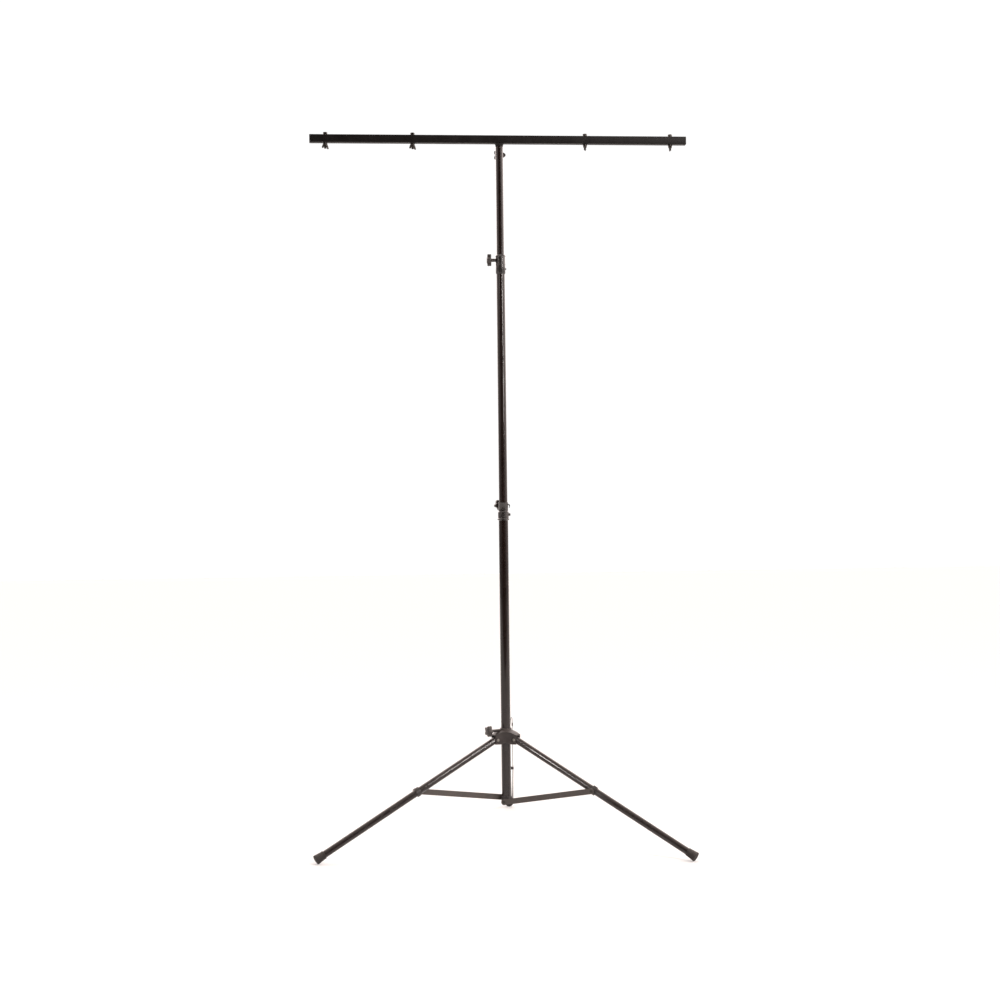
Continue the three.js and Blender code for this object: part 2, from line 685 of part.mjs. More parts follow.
function wingNutGeometry() {
  const core = revolve([
    [0, 0],
    [nutBaseRadius, 0],
    [nutBaseRadius, -nutBaseEdge],
    [nutNeckRadius, -nutHeight],
    [0, -nutHeight],
  ], screwSteps);
  const tipX = nutSpan / 2;
  const wing = new THREE.Shape();
  wing.moveTo(nutNeckRadius - wingThickness / 2, -nutBaseEdge);
  wing.lineTo(nutNeckRadius, -nutBaseEdge);
  wing.quadraticCurveTo(tipX - wingTip, -nutBaseEdge - wingTip / 2, tipX, -wingHeight + wingTip);
  wing.quadraticCurveTo(tipX + wingTip / 4, -wingHeight, tipX - wingTip / 2, -wingHeight);
  wing.quadraticCurveTo(tipX - 1.5 * wingTip, -wingHeight, tipX - 2 * wingTip, -nutHeight - wingTip / 2);
  wing.lineTo(nutNeckRadius, -nutHeight);
  wing.lineTo(nutNeckRadius - wingThickness / 2, -nutHeight);
  const standing = new THREE.Matrix4().makeRotationX(Math.PI / 2);
  const right = plate(wing, -wingThickness / 2, wingThickness / 2);
  const opposite = new THREE.Matrix4().makeRotationZ(Math.PI).multiply(standing);
  const bore = rod(boltRadius + seatGap, -nutHeight - overrun, overrun);
  const body = joined([solid(core), solid(right, standing), solid(right, opposite)]);
  return geometryOf(cut(body, [solid(bore)]));
}

const sharedBolt = boltGeometry();
const sharedNut = wingNutGeometry();
boltPlaces.forEach((x, i) => {
  addPiece(barGroup, `bar_bolt_${i + 1}`, sharedBolt, 'blackScrew').position.x = x;
  const nut = addPiece(barGroup, `wing_nut_${i + 1}`, sharedNut, 'blackScrew');
  nut.position.set(x, 0, -barHalf - seatGap);
  nut.rotation.z = THREE.MathUtils.degToRad(nutAngles[i]);
});

// Tripod, turned about the mast
const tripod = new THREE.Group();
tripod.rotation.z = THREE.MathUtils.degToRad(tripodTurn);
stand.add(tripod);

// Plan of the hub: three blunt ears joined by hollow curves, drawn in by an inset
function hubPlan(inset) {
  const shape = new THREE.Shape();
  const half = hub.earHalfWidth - inset;
  const end = hub.eaveRadius - inset;
  const corner = hub.earCorner;
  const waist = hub.eaveRadius * hub.waistShare - inset;
  const turned = (x, y, angle) => [
    x * Math.cos(angle) - y * Math.sin(angle),
    x * Math.sin(angle) + y * Math.cos(angle),
  ];
  Object.values(legTurns).sort((a, b) => a - b).forEach((degrees, i) => {
    const angle = THREE.MathUtils.degToRad(degrees);
    const start = turned(end - corner, -half, angle);
    if (i === 0) {
      shape.moveTo(...start);
    }
    shape.quadraticCurveTo(...turned(end, -half, angle), ...turned(end, -half + corner, angle));
    shape.lineTo(...turned(end, half - corner, angle));
    shape.quadraticCurveTo(...turned(end, half, angle), ...turned(end - corner, half, angle));
    const next = angle + (2 * Math.PI) / 3;
    shape.quadraticCurveTo(...turned(waist, 0, angle + Math.PI / 3), ...turned(end - corner, -half, next));
  });
  return shape;
}

// Hub: roof cone over the plan, slots for the legs, pockets between them, clamp boss on the roof
function hubGeometry() {
  const farRadius = hub.eaveRadius + hub.earHalfWidth;
  const eaveHeight = hubApex - hub.roofFallShare * (farRadius - hub.apexRadius);
  const roof = revolve([
    [0, hubBottom + hub.archRise],
    [hub.archInner, hubBottom + hub.archRise],
    [hub.archOuter, hubBottom],
    [farRadius, hubBottom],
    [farRadius, eaveHeight],
    [hub.apexRadius, hubApex],
    [0, hubApex],
  ], roofSteps);
  const block = plate(hubPlan(0), hubBottom - overrun, hubApex + overrun, hubCurveSteps);
  const boss = rod(hubKnob.bossRadius, 0, hubKnob.bossReach);
  const placedBoss = solid(boss, radialFrame(hubKnob.turn - tripodTurn, hubStudHeight));
  const shell = joined([solid(block).intersect(solid(roof)), placedBoss]);

  const bore = solid(rod(lowerTubeRadius + seatGap, hubBottom - overrun, 2 * hubApex, tubeSteps));
  const recess = solid(rod(hubRing.radius + seatGap, hubRecess, 2 * hubApex, tubeSteps));
  const studWay = studBore(hubKnob.turn - tripodTurn, hubStudHeight, 0, hubKnob.bossReach + overrun);

  const slotHalf = legRadius + seatGap;
  const slotEnd = hub.eaveRadius + overrun;
  const slotRoof = (radius) => hubApex - hub.roofWall - hub.roofFallShare * (radius - hub.apexRadius);
  const slotOutline = polygon([
    [hub.slotInner, hubBottom - overrun],
    [slotEnd, hubBottom - overrun],
    [slotEnd, slotRoof(slotEnd)],
    [hub.slotInner, slotRoof(hub.slotInner)],
  ]);
  const pocketRing = solid(plate(
    hubPlan(hub.wall), hubBottom - overrun, hubBottom + hub.pocketTop, hubCurveSteps,
  ));
  const keep = [solid(rod(hub.sleeveRadius, 0, 2 * hubApex, tubeSteps))];
  const tools = [bore, recess, studWay];
  Object.values(legTurns).forEach((degrees) => {
    const basis = new THREE.Matrix4().makeBasis(outwardAt(degrees), up, tangentAt(degrees).negate());
    tools.push(solid(plate(slotOutline, -slotHalf, slotHalf), basis));
    const cheeks = slotHalf + hub.wall;
    const wallOutline = polygon([
      [0, 0], [2 * hub.eaveRadius, 0], [2 * hub.eaveRadius, 2 * hubApex], [0, 2 * hubApex],
    ]);
    keep.push(solid(plate(wallOutline, -cheeks, cheeks), basis));
    const pin = tangentFrame(degrees, hubPivotRadius, hubPivotHeight);
    const seat = hub.earHalfWidth - hub.counterboreDepth;
    tools.push(solid(rod(pivotRadius + seatGap, -hub.eaveRadius, hub.eaveRadius), pin));
    tools.push(solid(rod(hub.counterboreRadius, seat, hub.eaveRadius), pin));
    tools.push(solid(rod(hub.counterboreRadius, -hub.eaveRadius, -seat), pin));
  });
  tools.push(cut(pocketRing, keep));
  return geometryOf(cut(shell, tools));
}
addPiece(tripod, 'hub', hubGeometry(), 'mouldedPlastic');

// Split ring in the hub's top, with the stud's way through it
function hubRingGeometry() {
  const low = hubRecess + seatGap;
  const ring = pipe(hubRing.radius, lowerTubeRadius + seatGap, low, low + hubRing.height);
  const turn = hubKnob.turn - tripodTurn;
  const slotShape = roundedRect(hubRing.slot / 2, hubRing.height, hubRing.slot / 4);
  const slot = solid(
    plate(slotShape, -2 * hubRing.radius, -lowerTubeRadius / 2), radialFrame(turn, hubStudHeight),
  );
  const studWay = studBore(turn, hubStudHeight, 0, 2 * hubRing.radius);
  const anchorWay = radialBore(
    anchor.shankRadius + seatGap, anchor.turn - tripodTurn, anchorHeight, 0, 2 * hubRing.radius,
  );
  return geometryOf(cut(solid(ring), [slot, studWay, anchorWay]));
}
addPiece(tripod, 'hub_ring', hubRingGeometry(), 'paintedSteel');
addClamp(
  tripod, 'hub', [hubKnob.turn - tripodTurn, hubStudHeight], [lowerTubeRadius, hubKnob.bossReach], sharedSmallKnob,
);

// Bracket at the foot of the mast: a cup with three round pads, one for each brace
function bracketGeometry() {
  const low = mastFoot - seatGap - bracket.floor;
  const high = low + bracket.height;
  const outside = revolve([
    [0, low],
    [bracket.lipRadius, low],
    [bracket.radius, low + bracket.lipSlope],
    [bracket.radius, high - bracket.lipSlope],
    [bracket.lipRadius, high],
    [0, high],
  ]);
  const bore = rod(lowerTubeRadius + seatGap, mastFoot - seatGap, high + overrun, tubeSteps);
  const tools = [solid(bore)];
  const bodies = [solid(outside)];
  const flat = bracePlane - seatGap;
  Object.entries(legTurns).forEach(([side, degrees]) => {
    const facing = degrees - 90;
    const pad = rod(bracket.padRadius, lowerTubeRadius, flat, collarSteps);
    bodies.push(solid(pad, radialFrame(facing, bracketPivotHeights[side])));
    tools.push(radialBore(rivetRadius + seatGap, facing, bracketPivotHeights[side], 0, 2 * flat));
  });
  return geometryOf(cut(joined(bodies), tools));
}
addPiece(tripod, 'brace_bracket', bracketGeometry(), 'paintedSteel');

// A rivet with a domed head, along Z
function rivetGeometry(low, headSeat) {
  return revolve([
    [0, low],
    [rivetRadius, low],
    [rivetRadius, headSeat],
    [rivetHeadRadius, headSeat],
    [rivetHeadRadius, headSeat + rivetHeadHeight / 3],
    [rivetHeadRadius * Math.cos(Math.PI / 4), headSeat + rivetHeadHeight * Math.sin(Math.PI / 3)],
    [rivetHeadRadius / 3, headSeat + rivetHeadHeight],
    [0, headSeat + rivetHeadHeight],
  ], smallSteps);
}

// Flat brace with round ends and two rivet holes, X along its length
function braceGeometry(braceLength) {
  const strip = new THREE.Shape();
  strip.absarc(braceLength, 0, braceHalfWidth, -Math.PI / 2, Math.PI / 2);
  strip.absarc(0, 0, braceHalfWidth, Math.PI / 2, 1.5 * Math.PI);
  strip.closePath();
  const body = solid(plate(strip, bracePlane, bracePlane + braceThickness, 2 * filletSteps));
  const ends = [0, braceLength].map((x) => {
    const hole = rod(rivetRadius + seatGap, bracePlane - overrun, bracePlane + braceThickness + overrun);
    return solid(hole.translate(x, 0, 0));
  });
  return geometryOf(cut(body, ends));
}

// Leg tube with its pivot hole, Z along the leg
function legGeometry() {
  const end = legLength - foot.endWall - seatGap;
  const tube = pipe(legRadius, legRadius - legWall, -legBack, end, legSteps);
  const across = new THREE.Matrix4().makeRotationY(Math.PI / 2);
  const hole = solid(rod(pivotRadius + seatGap, -2 * legRadius, 2 * legRadius), across);
  return geometryOf(cut(solid(tube), [hole]));
}

// Rubber foot: flared cap over the leg's end, cut flat where it meets the floor
function footGeometry() {
  const start = legLength - foot.length;
  const cap = revolve([
    [0, start],
    [foot.lipRadius, start],
    [foot.lipRadius, start + foot.lip],
    [foot.startRadius, start + 1.5 * foot.lip],
    [foot.endRadius, legLength],
    [0, legLength],
  ], legSteps);
  const bore = rod(legRadius + seatGap, start - overrun, legLength - foot.endWall, legSteps);
  const ground = new THREE.BoxGeometry(4 * legLength, 4 * legLength, legLength);
  ground.translate(0, 0, -legLength / 2);
  return geometryOf(cut(solid(cap), [solid(bore), solid(ground, legFrame(0).invert())]));
}

// Clip round the leg: band, pivot boss on the brace's side, pinched seams above and below
function clipGeometry() {
  const low = braceJoint - clip.length / 2;
  const high = braceJoint + clip.length / 2;
  const band = rod(legRadius + seatGap + clip.wall, low, high, legSteps);
  const sideways = new THREE.Matrix4().makeRotationY(-Math.PI / 2).setPosition(0, 0, braceJoint);
  const boss = solid(rod(clip.bossRadius, legRadius, bracePlane - seatGap), sideways);
  const seamHeight = legRadius + seatGap + clip.seamRise;
  const seam = rod(clip.seamRadius, low + clip.seamInset, high - clip.seamInset, smallSteps);
  seam.translate(0, seamHeight, 0);
  const lowerSeam = rod(clip.lowerSeamRadius, low + clip.seamInset, high - clip.seamInset, smallSteps);
  lowerSeam.translate(0, -seamHeight, 0);
  const bore = rod(legRadius + seatGap, low - overrun, high + overrun, legSteps);
  const body = joined([solid(band), boss, solid(seam), solid(lowerSeam)]);
  return geometryOf(cut(body, [solid(bore)]));
}

// Bolt through the hub's cheeks and the leg, a round head at one end and a nut at the other
function pivotGeometry() {
  const seat = hub.earHalfWidth - hub.counterboreDepth + seatGap;
  const shank = rod(pivotRadius, -seat - pivotHeadHeight, seat + pivotHeadHeight / 2);
  const head = revolve([
    [0, seat],
    [pivotHeadRadius, seat],
    [pivotHeadRadius, seat + pivotHeadHeight / 3],
    [pivotHeadRadius * Math.cos(Math.PI / 4), seat + pivotHeadHeight * Math.sin(Math.PI / 3)],
    [pivotHeadRadius / 3, seat + pivotHeadHeight],
    [0, seat + pivotHeadHeight],
  ], screwSteps);
  const nut = rod(pivotHeadRadius, -seat - pivotHeadHeight, -seat, 6);
  return geometryOf(joined([solid(shank), solid(head), solid(nut)]));
}

const legShapes = {
  leg: [legGeometry(), 'paintedTube'],
  foot: [footGeometry(), 'rubber'],
  leg_clip: [clipGeometry(), 'paintedSteel'],
};
const braceRivetShape = rivetGeometry(bracePlane, bracePlane + braceThickness + seatGap);
const bracketRivetShape = rivetGeometry(lowerTubeRadius + 2 * seatGap, bracePlane + braceThickness + seatGap);
const pivotShape = pivotGeometry();

Object.entries(legTurns).forEach(([side, degrees]) => {
  const legGroup = addGroup(tripod, legFrame(degrees));
  Object.entries(legShapes).forEach(([name, [geometry, finish]]) => {
    addPiece(legGroup, `${name}_${side}`, geometry, finish);
  });
  const pinGroup = addGroup(tripod, tangentFrame(degrees, hubPivotRadius, hubPivotHeight));
  addPiece(pinGroup, `leg_pivot_${side}`, pivotShape, 'steel');
  const braceLow = bracketPivotHeights[side];
  const braceLength = Math.hypot(jointRadius, jointHeight - braceLow);
  const braceGroup = addGroup(tripod, braceFrame(degrees, braceLow));
  addPiece(braceGroup, `brace_${side}`, braceGeometry(braceLength), 'paintedSteel');
  addPiece(braceGroup, `brace_rivet_${side}`, braceRivetShape, 'blackScrew').position.x = braceLength;
  const rivetGroup = addGroup(tripod, radialFrame(degrees - 90, braceLow));
  addPiece(rivetGroup, `bracket_rivet_${side}`, bracketRivetShape, 'blackScrew');
});

// Wire lanyard on the hub ring: screw, wire looped up and hanging down behind the hub, ferrule, ring
const anchorGroup = addGroup(stand, radialFrame(anchor.turn, anchorHeight));
const anchorSeat = hubRing.radius + anchor.shankOut;
const anchorScrew = revolve([
  [0, lowerTubeRadius + 2 * seatGap],
  [anchor.shankRadius, lowerTubeRadius + 2 * seatGap],
  [anchor.shankRadius, anchorSeat],
  [anchor.headRadius, anchorSeat],
  [anchor.headRadius, anchorSeat + anchor.headHeight],
  [0, anchorSeat + anchor.headHeight],
], smallSteps);
addPiece(anchorGroup, 'lanyard_anchor', anchorScrew, 'blackScrew');

const wirePath = new THREE.CatmullRomCurve3(wireRoute.map(([x, y, z]) => new THREE.Vector3(x, y, z)));
const wireSection = [];
for (let i = 0; i < wireSides; i += 1) {
  const angle = (2 * Math.PI * i) / wireSides;
  wireSection.push([wireRadius * Math.cos(angle), wireRadius * Math.sin(angle)]);
}
const wire = new THREE.ExtrudeGeometry(polygon(wireSection), {
  steps: wireSteps, extrudePath: wirePath, bevelEnabled: false,
});
addPiece(stand, 'lanyard_wire', geometryOf(solid(wire)), 'steel');

const [hangX, hangY, hangEnd] = wireRoute[wireRoute.length - 1];
const sleeve = pipe(ferrule.radius, ferrule.boreRadius, ferrule.top - ferrule.length, ferrule.top, screwSteps);
addPiece(stand, 'lanyard_ferrule', sleeve, 'blackScrew').position.set(hangX, hangY, 0);
const ring = new THREE.TorusGeometry(keyRing.radius, keyRing.wireRadius, keyRingSides, keyRingSteps);
ring.applyMatrix4(radialFrame(tripodTurn, 0));
const ringDrop = seatGap + keyRing.radius + keyRing.wireRadius;
addPiece(stand, 'lanyard_ring', ring, 'steel').position.set(hangX, hangY, hangEnd - ringDrop);

// The origin is under the middle of the box that the stand fills, on the floor
stand.updateMatrixWorld(true);
const box = new THREE.Box3().setFromObject(stand, true);
const middle = box.getCenter(new THREE.Vector3());
stand.position.set(-middle.x, -middle.y, -box.min.z);

export default stand;
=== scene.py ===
"""Dresses the folding lighting stand: camera, cord, light, floor, finishes and the fine pieces."""
import json
import math

import bpy
from mathutils import Matrix, Vector


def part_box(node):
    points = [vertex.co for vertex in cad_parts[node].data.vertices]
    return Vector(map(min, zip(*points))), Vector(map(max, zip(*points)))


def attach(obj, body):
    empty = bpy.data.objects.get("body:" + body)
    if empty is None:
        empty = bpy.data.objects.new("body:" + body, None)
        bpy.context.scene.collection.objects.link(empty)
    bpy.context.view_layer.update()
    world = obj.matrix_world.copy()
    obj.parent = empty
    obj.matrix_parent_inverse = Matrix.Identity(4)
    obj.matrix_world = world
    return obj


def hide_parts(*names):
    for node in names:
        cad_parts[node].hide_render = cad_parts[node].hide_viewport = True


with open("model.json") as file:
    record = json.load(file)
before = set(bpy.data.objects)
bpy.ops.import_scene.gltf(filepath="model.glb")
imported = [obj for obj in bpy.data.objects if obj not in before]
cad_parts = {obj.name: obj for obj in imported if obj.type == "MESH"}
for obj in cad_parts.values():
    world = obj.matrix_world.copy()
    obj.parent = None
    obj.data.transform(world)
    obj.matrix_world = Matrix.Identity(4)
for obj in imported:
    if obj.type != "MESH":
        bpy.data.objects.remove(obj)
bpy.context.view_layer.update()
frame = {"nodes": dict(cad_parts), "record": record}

MM = 0.001
SIDES = ("front_left", "front_right", "back")
scene = bpy.context.scene
NODES = frame["nodes"]

# The mast's axis in the row frame, from the lower tube's box
tube_low, tube_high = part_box("lower_tube")
MAST_X = (tube_low[0] + tube_high[0]) / 2
MAST_Y = (tube_low[1] + tube_high[1]) / 2

# Camera, fitted to the photograph: turned 5.2 degrees off the bar's front, rolled 0.65 degrees
CAMERA_TURN = math.radians(5.2)
CAMERA_DISTANCE = 5.636
CAMERA_HEIGHT = 1.0864
CAMERA_PAN = -0.0018
CAMERA_ROLL = math.radians(0.654)
FOCAL_PX = 1773.4
PICTURE_PX = 1000
SENSOR_MM = 36
VIEW_END = 60


def make_camera():
    """The camera at the photograph's place, looking level past the mast."""
    data = bpy.data.cameras.new("photo_camera")
    data.sensor_fit = "HORIZONTAL"
    data.sensor_width = SENSOR_MM
    data.lens = FOCAL_PX * SENSOR_MM / PICTURE_PX
    data.clip_end = VIEW_END
    camera = bpy.data.objects.new("photo_camera", data)
    scene.collection.objects.link(camera)
    cos_t, sin_t = math.cos(CAMERA_TURN), math.sin(CAMERA_TURN)
    away_x, away_y = CAMERA_DISTANCE * sin_t, CAMERA_DISTANCE * cos_t
    place = Vector((MAST_X - away_x, MAST_Y - away_y, CAMERA_HEIGHT))
    forward = Vector((CAMERA_PAN * cos_t + sin_t, cos_t - CAMERA_PAN * sin_t, 0)).normalized()
    world_up = Vector((0, 0, 1))
    level_right = forward.cross(world_up)
    right = level_right * math.cos(CAMERA_ROLL) - world_up * math.sin(CAMERA_ROLL)
    upward = level_right * math.sin(CAMERA_ROLL) + world_up * math.cos(CAMERA_ROLL)
    camera.matrix_world = Matrix(
        (
            (right.x, upward.x, -forward.x, place.x),
            (right.y, upward.y, -forward.y, place.y),
            (right.z, upward.z, -forward.z, place.z),
            (0, 0, 0, 1),
        )
    )
    scene.camera = camera


make_camera()

# Lanyard: the route that the CAD wire follows, in millimetres from the mast's axis
WIRE_ROUTE = [
    (12.44, 19.01, 359.3), (13.36, 20.42, 359.6), (14.6, 22.4, 361.2), (16.2, 25.0, 366),
    (17.3, 26.9, 373), (17.7, 27.3, 380.5), (18.6, 26.9, 387.6), (20.3, 26.3, 391.6),
    (22.2, 25.6, 388.5), (23.1, 25.1, 381.5), (23.24, 24.98, 372), (23.24, 24.98, 350),
    (23.24, 24.98, 320), (23.24, 24.98, 290), (23.24, 24.98, 260), (23.24, 24.98, 230),
    (23.24, 24.98, 200), (23.24, 24.98, 170), (23.24, 24.98, 136.2),
]
WIRE_DIAMETER = 0.0016


def make_wire():
    """The lanyard's wire as one smooth curve, its ferrule and ring being CAD pieces on it.

    Its points carry the thickness: the curve's bounding box grows by a point's radius in metres.
    """
    data = bpy.data.curves.new("wire", "CURVE")
    data.dimensions = "3D"
    data.bevel_depth = 1
    data.bevel_resolution = 3
    data.use_fill_caps = True
    data.resolution_u = 6
    spline = data.splines.new("BEZIER")
    spline.bezier_points.add(len(WIRE_ROUTE) - 1)
    places = [Vector((MAST_X + x * MM, MAST_Y + y * MM, z * MM)) for x, y, z in WIRE_ROUTE]
    for i, (point, place) in enumerate(zip(spline.bezier_points, places)):
        before, after = places[max(i - 1, 0)], places[min(i + 1, len(places) - 1)]
        heading = (after - before).normalized()
        point.co = place
        point.radius = WIRE_DIAMETER / 2
        point.handle_left = place - heading * (place - before).length / 3
        point.handle_right = place + heading * (after - place).length / 3
    wire = bpy.data.objects.new("wire", data)
    scene.collection.objects.link(wire)
    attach(wire, "hub_slider")
    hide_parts("lanyard_wire")
    return wire


lanyard = make_wire()


# Steps of node trees
def node(tree, kind, **inputs):
    """A new node with its named inputs set."""
    made = tree.nodes.new(kind)
    for key, value in inputs.items():
        made.inputs[key.replace("_", " ")].default_value = value
    return made


def noise(tree, coords, scale, detail, stretch=(1, 1, 1)):
    """Noise over the object, stretched along an axis where stretch is below 1."""
    mapping = tree.nodes.new("ShaderNodeMapping")
    mapping.inputs["Scale"].default_value = stretch
    tree.links.new(coords, mapping.inputs["Vector"])
    made = node(tree, "ShaderNodeTexNoise", Scale=scale, Detail=detail, Roughness=0.6)
    tree.links.new(mapping.outputs["Vector"], made.inputs["Vector"])
    return made.outputs["Fac"]


def span(tree, value, low, high, to_low, to_high):
    """The value, mapped and clamped from low..high to to_low..to_high."""
    made = tree.nodes.new("ShaderNodeMapRange")
    keys = ("From Min", "From Max", "To Min", "To Max")
    for key, number in zip(keys, (low, high, to_low, to_high)):
        made.inputs[key].default_value = number
    tree.links.new(value, made.inputs["Value"])
    return made.outputs["Result"]


def combined(tree, a, b, operation="MULTIPLY"):
    """Two values, each a number or a socket, put together by a math node."""
    made = tree.nodes.new("ShaderNodeMath")
    made.operation = operation
    for i, term in enumerate((a, b)):
        if isinstance(term, (int, float)):
            made.inputs[i].default_value = term
        else:
            tree.links.new(term, made.inputs[i])
    return made.outputs["Value"]


def blend_colour(tree, factor, a, b):
    """A mix of two colours, each a tuple or a socket."""
    made = tree.nodes.new("ShaderNodeMix")
    made.data_type = "RGBA"
    tree.links.new(factor, made.inputs[0])
    for socket, term in ((made.inputs[6], a), (made.inputs[7], b)):
        if isinstance(term, tuple):
            socket.default_value = (*term, 1)
        else:
            tree.links.new(term, socket)
    return made.outputs[2]


# Finishes
COAT_ROUGHNESS = 0.07
MOTTLE_SCALE = 26
DUST_SCALE = 90
DUST_COLOUR = (0.34, 0.32, 0.29)
SCRATCH_SCALE = 700
SCRATCH_STRETCH = (1, 1, 0.03)


def finish_material(
    name, colour, roughness, mottle, grain, dust,
    metallic=0.0, coat=0.0, specular=0.5, swing=0.1, scratch=0.0,
):
    """A procedural finish: mottled colour, dust on what faces up, uneven gloss, grain, scratches.

    Its grain is a pair, the scale and the height in metres; swing is how far the roughness strays.
    """
    material = bpy.data.materials.new(name)
    material.use_nodes = True
    tree = material.node_tree
    shader = tree.nodes["Principled BSDF"]
    shader.inputs["Metallic"].default_value = metallic
    shader.inputs["Coat Weight"].default_value = coat
    shader.inputs["Coat Roughness"].default_value = COAT_ROUGHNESS
    shader.inputs["Specular IOR Level"].default_value = specular
    coords = tree.nodes.new("ShaderNodeTexCoord").outputs["Object"]
    geometry = tree.nodes.new("ShaderNodeNewGeometry")
    lighter = tuple(min(1.0, c * 1.8 + 0.006) for c in colour)
    broad = noise(tree, coords, MOTTLE_SCALE, 5.0)
    fine = noise(tree, coords, grain[0], 3.0)
    mixed = blend_colour(tree, span(tree, broad, 0.35, 0.7, 0, mottle), colour, lighter)
    facing = tree.nodes.new("ShaderNodeSeparateXYZ")
    tree.links.new(geometry.outputs["Normal"], facing.inputs["Vector"])
    upward = span(tree, facing.outputs["Z"], 0.35, 1, 0, dust)
    settled = combined(tree, upward, noise(tree, coords, DUST_SCALE, 6.0))
    mixed = blend_colour(tree, settled, mixed, DUST_COLOUR)
    rough = span(tree, broad, 0.3, 0.7, roughness - swing, roughness + swing)
    if scratch:
        lines = noise(tree, coords, SCRATCH_SCALE, 2.0, SCRATCH_STRETCH)
        worn = span(tree, lines, 0.62, 0.72, 0, scratch)
        mixed = blend_colour(tree, worn, mixed, tuple(min(1.0, c * 3 + 0.08) for c in colour))
        rough = combined(tree, rough, combined(tree, worn, 0.3), "ADD")
    tree.links.new(mixed, shader.inputs["Base Color"])
    tree.links.new(rough, shader.inputs["Roughness"])
    bump = node(tree, "ShaderNodeBump", Strength=1.0, Distance=grain[1])
    tree.links.new(fine, bump.inputs["Height"])
    tree.links.new(bump.outputs["Normal"], shader.inputs["Normal"])
    return material


FINISHES = {
    "painted_tube": finish_material(
        "gloss_black_coat", (0.008, 0.0036, 0.0025), 0.3, mottle=0.3, grain=(420, 0.000001),
        dust=0.12, coat=0.9, specular=0.1, swing=0.07, scratch=0.02,
    ),
    "painted_steel": finish_material(
        "satin_black_coat", (0.05, 0.041, 0.036), 0.44, mottle=0.3, grain=(1100, 0.00007),
        dust=0.18, scratch=0.12,
    ),
    "bar_paint": finish_material(
        "textured_black_coat", (0.003, 0.0018, 0.0015), 0.44, mottle=0.3, grain=(1500, 0.00007),
        dust=0.06, specular=0.22, swing=0.06,
    ),
    "moulded_plastic": finish_material(
        "black_nylon", (0.028, 0.0225, 0.021), 0.55, mottle=0.35, grain=(2200, 0.00006),
        dust=0.1, specular=0.4,
    ),
    "knob_plastic": finish_material(
        "black_knob_plastic", (0.03, 0.025, 0.023), 0.3, mottle=0.25, grain=(1600, 0.00004),
        dust=0.12,
    ),
    "rubber": finish_material(
        "black_rubber", (0.02, 0.016, 0.0145), 0.72, mottle=0.5, grain=(1300, 0.00014),
        dust=0.3, specular=0.35,
    ),
    "black_screw": finish_material(
        "black_oxide_steel", (0.05, 0.046, 0.042), 0.34, mottle=0.4, grain=(1500, 0.00004),
        dust=0.1, metallic=0.9, scratch=0.2,
    ),
    "steel": finish_material(
        "zinc_plated_steel", (0.2, 0.19, 0.17), 0.36, mottle=0.5, grain=(1800, 0.00003),
        dust=0.05, metallic=1.0, scratch=0.15,
    ),
}

# Nodes that look unlike the others of their slot: glossier collars, darker clips, and a near-black
# bracket whose dark coat is painted shade for the shadowed gap at the mast's foot
DARK_COAT_AND_PAINTED_SHADE = finish_material(
    "dark_coat_and_painted_shade", (0.012, 0.009, 0.008), 0.45, mottle=0.4, grain=(1100, 0.00007),
    dust=0.1, scratch=0.1,
)
GLOSSY_NYLON = finish_material(
    "glossy_black_nylon", (0.01, 0.008, 0.0072), 0.34, mottle=0.3, grain=(1800, 0.00001),
    dust=0.1, coat=0.8,
)
# On the bracket the dark coat is painted shade for the gap under the mast's foot; on the clips it
# is their own darker tone
OWN_FINISHES = {"brace_bracket": DARK_COAT_AND_PAINTED_SHADE, "mid_collar": GLOSSY_NYLON, "top_collar": GLOSSY_NYLON}
OWN_FINISHES.update({"leg_clip_" + side: DARK_COAT_AND_PAINTED_SHADE for side in SIDES})


# Smooth shading and softened edges on the CAD nodes
SMOOTH_DEGREES = 36
BEVEL_DEGREES = 40
PIECE_SMOOTH_DEGREES = 38
WELD_DISTANCE = 2e-6


def smoothing_group(name, degrees):
    """Welds a faceted mesh and shades it smooth, but for edges sharper than the angle."""
    tree = bpy.data.node_groups.new(name, "GeometryNodeTree")
    tree.interface.new_socket("Geometry", in_out="INPUT", socket_type="NodeSocketGeometry")
    tree.interface.new_socket("Geometry", in_out="OUTPUT", socket_type="NodeSocketGeometry")
    start = tree.nodes.new("NodeGroupInput")
    end = tree.nodes.new("NodeGroupOutput")
    weld = tree.nodes.new("GeometryNodeMergeByDistance")
    weld.inputs["Distance"].default_value = WELD_DISTANCE
    soft = tree.nodes.new("GeometryNodeSetShadeSmooth")
    soft.domain = "FACE"
    crease = tree.nodes.new("GeometryNodeSetShadeSmooth")
    crease.domain = "EDGE"
    crease.inputs["Shade Smooth"].default_value = False
    angle = tree.nodes.new("GeometryNodeInputMeshEdgeAngle")
    sharp = tree.nodes.new("FunctionNodeCompare")
    sharp.data_type = "FLOAT"
    sharp.operation = "GREATER_THAN"
    sharp.inputs[1].default_value = math.radians(degrees)
    tree.links.new(angle.outputs["Unsigned Angle"], sharp.inputs[0])
    tree.links.new(start.outputs[0], weld.inputs["Geometry"])
    tree.links.new(weld.outputs["Geometry"], soft.inputs["Geometry"])
    tree.links.new(soft.outputs["Geometry"], crease.inputs["Geometry"])
    tree.links.new(sharp.outputs["Result"], crease.inputs["Selection"])
    tree.links.new(crease.outputs["Geometry"], end.inputs[0])
    return tree


SMOOTHING = smoothing_group("smooth_but_for_edges", SMOOTH_DEGREES)
FINE_EDGE = 0.25 * MM
EDGE_WIDTHS = {
    "t_bar": 0.5 * MM, "hub": 0.5 * MM, "hub_ring": 0.3 * MM,
    "mid_collar": 0.4 * MM, "top_collar": 0.35 * MM, "brace_bracket": 0.4 * MM,
}


